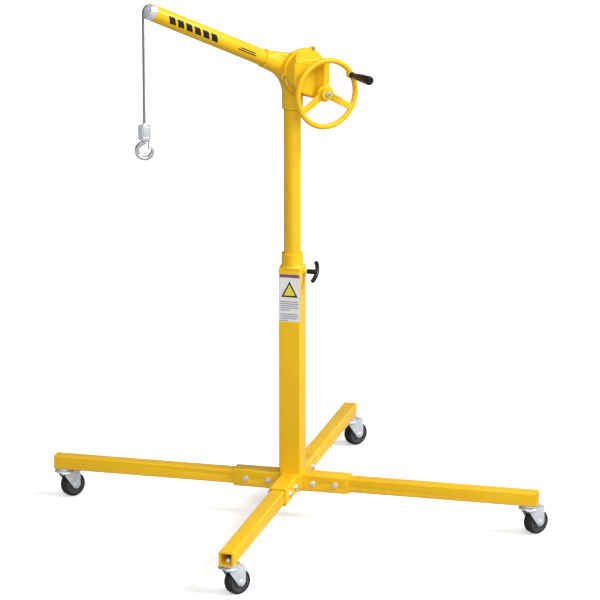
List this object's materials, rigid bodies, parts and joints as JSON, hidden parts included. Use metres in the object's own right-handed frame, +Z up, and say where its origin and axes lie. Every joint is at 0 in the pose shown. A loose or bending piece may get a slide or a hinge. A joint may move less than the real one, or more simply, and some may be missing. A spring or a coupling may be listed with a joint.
{
  "type": "engine hoist crane",
  "caption": "Portable hoist with a swivelling mast and raised boom, handwheel winch, wire rope with a latched hook, and a cross-shaped base on swivel casters.",
  "frame": {"origin": "on the floor under the mast's axis, midway between the four legs", "axes": "+Z up along the mast; the boom points to -X; the handwheel is on the -Y side; the legs lie on the diagonals"},
  "size_m": [1.3276, 1.2876, 1.8951],
  "materials": {
    "yellow_paint": "gloss",
    "zinc_steel": "satin",
    "machined_steel": "satin",
    "cast_aluminium": "satin",
    "rubber_tyre": "matte",
    "wheel_core_grey": "matte",
    "black_plastic": "gloss",
    "bronze_bush": "satin",
    "friction_lining": "matte",
    "wire_rope": "satin",
    "forged_hook": "polished"
  },
  "bodies": {
    "base": {"column_tube": "yellow_paint", "column_cap": "yellow_paint", "post_sleeve": "yellow_paint", "post_cup": "yellow_paint", "leg_sockets": "yellow_paint", "leg_front": "yellow_paint", "leg_right": "yellow_paint", "leg_back": "yellow_paint", "leg_left": "yellow_paint", "clamp_boss": "yellow_paint", "leg_bolts": "zinc_steel", "leg_nuts": "zinc_steel", "caster_stem_bolts": "zinc_steel", "caster_stem_nuts": "zinc_steel", "caster_raceways": "zinc_steel"},
    "caster_fork_body_front": {"caster_fork_front": "zinc_steel", "caster_axle_front": "zinc_steel"},
    "caster_wheel_body_front": {"caster_wheel_core_front": "wheel_core_grey", "caster_tyre_front": "rubber_tyre"},
    "caster_fork_body_right": {"caster_fork_right": "zinc_steel", "caster_axle_right": "zinc_steel"},
    "caster_wheel_body_right": {"caster_wheel_core_right": "wheel_core_grey", "caster_tyre_right": "rubber_tyre"},
    "caster_fork_body_back": {"caster_fork_back": "zinc_steel", "caster_axle_back": "zinc_steel"},
    "caster_wheel_body_back": {"caster_wheel_core_back": "wheel_core_grey", "caster_tyre_back": "rubber_tyre"},
    "caster_fork_body_left": {"caster_fork_left": "zinc_steel", "caster_axle_left": "zinc_steel"},
    "caster_wheel_body_left": {"caster_wheel_core_left": "wheel_core_grey", "caster_tyre_left": "rubber_tyre"},
    "clamp_shoe": {"clamp_pad": "bronze_bush"},
    "clamp_handle": {"clamp_screw": "zinc_steel", "tee_handle": "black_plastic"},
    "mast_head": {"post_tube": "yellow_paint", "head_casting": "yellow_paint", "housing_cover": "yellow_paint", "cover_screws": "machined_steel", "boom_tube": "yellow_paint", "boom_tip": "cast_aluminium", "sheave_pin": "zinc_steel", "rope_run": "wire_rope", "rope_drop": "wire_rope", "drum_axle": "machined_steel", "shaft_bushes": "bronze_bush", "ratchet_wheel": "machined_steel"},
    "drum": {"rope_drum": "machined_steel", "drum_gear": "machined_steel", "rope_wraps": "wire_rope"},
    "wheel_shaft": {"handwheel": "yellow_paint", "pinion_shaft": "machined_steel", "hub_nut": "zinc_steel", "grip_spindle": "zinc_steel", "brake_discs": "friction_lining"},
    "grip": {"hand_grip": "black_plastic"},
    "tip_sheave": {"sheave": "machined_steel"},
    "pawl_lever": {"pawl": "machined_steel"},
    "hook_block": {"swivel_barrel": "zinc_steel"},
    "hook_body": {"hook": "forged_hook"},
    "latch": {"hook_latch": "machined_steel"}
  },
  "joints": [
    {"name": "mast_swivel", "type": "hinge", "parent": "base", "child": "mast_head", "pos_m": [0, 0, 0.92], "axis": [0, 0, 1], "continuous": true},
    {"name": "caster_swivel_front", "type": "hinge", "parent": "base", "child": "caster_fork_body_front", "pos_m": [-0.60316, -0.60316, 0.1], "axis": [0, 0, 1], "continuous": true},
    {"name": "caster_roll_front", "type": "hinge", "parent": "caster_fork_body_front", "child": "caster_wheel_body_front", "pos_m": [-0.56835, -0.5995, 0.04445], "axis": [-0.1045, 0.9945, 0], "continuous": true},
    {"name": "caster_swivel_right", "type": "hinge", "parent": "base", "child": "caster_fork_body_right", "pos_m": [0.60316, -0.60316, 0.1], "axis": [0, 0, 1], "continuous": true},
    {"name": "caster_roll_right", "type": "hinge", "parent": "caster_fork_body_right", "child": "caster_wheel_body_right", "pos_m": [0.63797, -0.5995, 0.04445], "axis": [-0.1045, 0.9945, 0], "continuous": true},
    {"name": "caster_swivel_back", "type": "hinge", "parent": "base", "child": "caster_fork_body_back", "pos_m": [0.60316, 0.60316, 0.1], "axis": [0, 0, 1], "continuous": true},
    {"name": "caster_roll_back", "type": "hinge", "parent": "caster_fork_body_back", "child": "caster_wheel_body_back", "pos_m": [0.63797, 0.60682, 0.04445], "axis": [-0.1045, 0.9945, 0], "continuous": true},
    {"name": "caster_swivel_left", "type": "hinge", "parent": "base", "child": "caster_fork_body_left", "pos_m": [-0.60316, 0.60316, 0.1], "axis": [0, 0, 1], "continuous": true},
    {"name": "caster_roll_left", "type": "hinge", "parent": "caster_fork_body_left", "child": "caster_wheel_body_left", "pos_m": [-0.56835, 0.60682, 0.04445], "axis": [-0.1045, 0.9945, 0], "continuous": true},
    {"name": "clamp_travel", "type": "slide", "parent": "base", "child": "clamp_shoe", "axis": [0.7071, -0.7071, 0], "range_m": [-0.00037, 0.00175]},
    {"name": "clamp_turn", "type": "hinge", "parent": "clamp_shoe", "child": "clamp_handle", "pos_m": [0.02828, -0.02828, 0.903], "axis": [0.7071, -0.7071, 0], "range_deg": [-76.3, 361.4]},
    {"name": "drum_turn", "type": "hinge", "parent": "mast_head", "child": "drum", "pos_m": [0.02, 0, 1.617], "axis": [0, -1, 0], "range_deg": [-2233.4, 584.1]},
    {"name": "handwheel_turn", "type": "hinge", "parent": "mast_head", "child": "wheel_shaft", "pos_m": [0.06292, -0.125, 1.54831], "axis": [0, -1, 0], "range_deg": [-2337.4, 8934.6]},
    {"name": "sheave_turn", "type": "hinge", "parent": "mast_head", "child": "tip_sheave", "pos_m": [-0.5545, 0, 1.8664], "axis": [0, -1, 0], "range_deg": [-812.7, 3104.5]},
    {"name": "hook_lift", "type": "slide", "parent": "mast_head", "child": "hook_block", "axis": [0, 0, 1], "range_m": [-1.30049, 0.34049], "deforming": ["rope_drop"]},
    {"name": "grip_spin", "type": "hinge", "parent": "wheel_shaft", "child": "grip", "pos_m": [0.15721, -0.18, 1.60496], "axis": [0, 1, 0], "continuous": true},
    {"name": "hook_swivel", "type": "hinge", "parent": "hook_block", "child": "hook_body", "pos_m": [-0.5785, 0, 1.444], "axis": [0, 0, 1], "continuous": true},
    {"name": "latch_swing", "type": "hinge", "parent": "hook_body", "child": "latch", "pos_m": [-0.56638, -0.007, 1.4295], "axis": [0.5, 0.866, 0], "range_deg": [0, 25], "stiffness_Nm_per_rad": 0.05, "springref_deg": -17.19},
    {"name": "pawl_lift", "type": "hinge", "parent": "mast_head", "child": "pawl_lever", "pos_m": [0.03703, -0.062, 1.57332], "axis": [0, -1, 0], "range_deg": [0, 12], "stiffness_Nm_per_rad": 0.02, "springref_deg": -17.19}
  ],
  "couplings": [
    {"joint": "handwheel_turn", "follows": "drum_turn", "ratio": -4},
    {"joint": "sheave_turn", "follows": "drum_turn", "ratio": -1.3896},
    {"joint": "hook_lift", "follows": "drum_turn", "m_per_rad": 0.03335},
    {"joint": "clamp_turn", "follows": "clamp_travel", "rad_per_m": 3590.4}
  ]
}
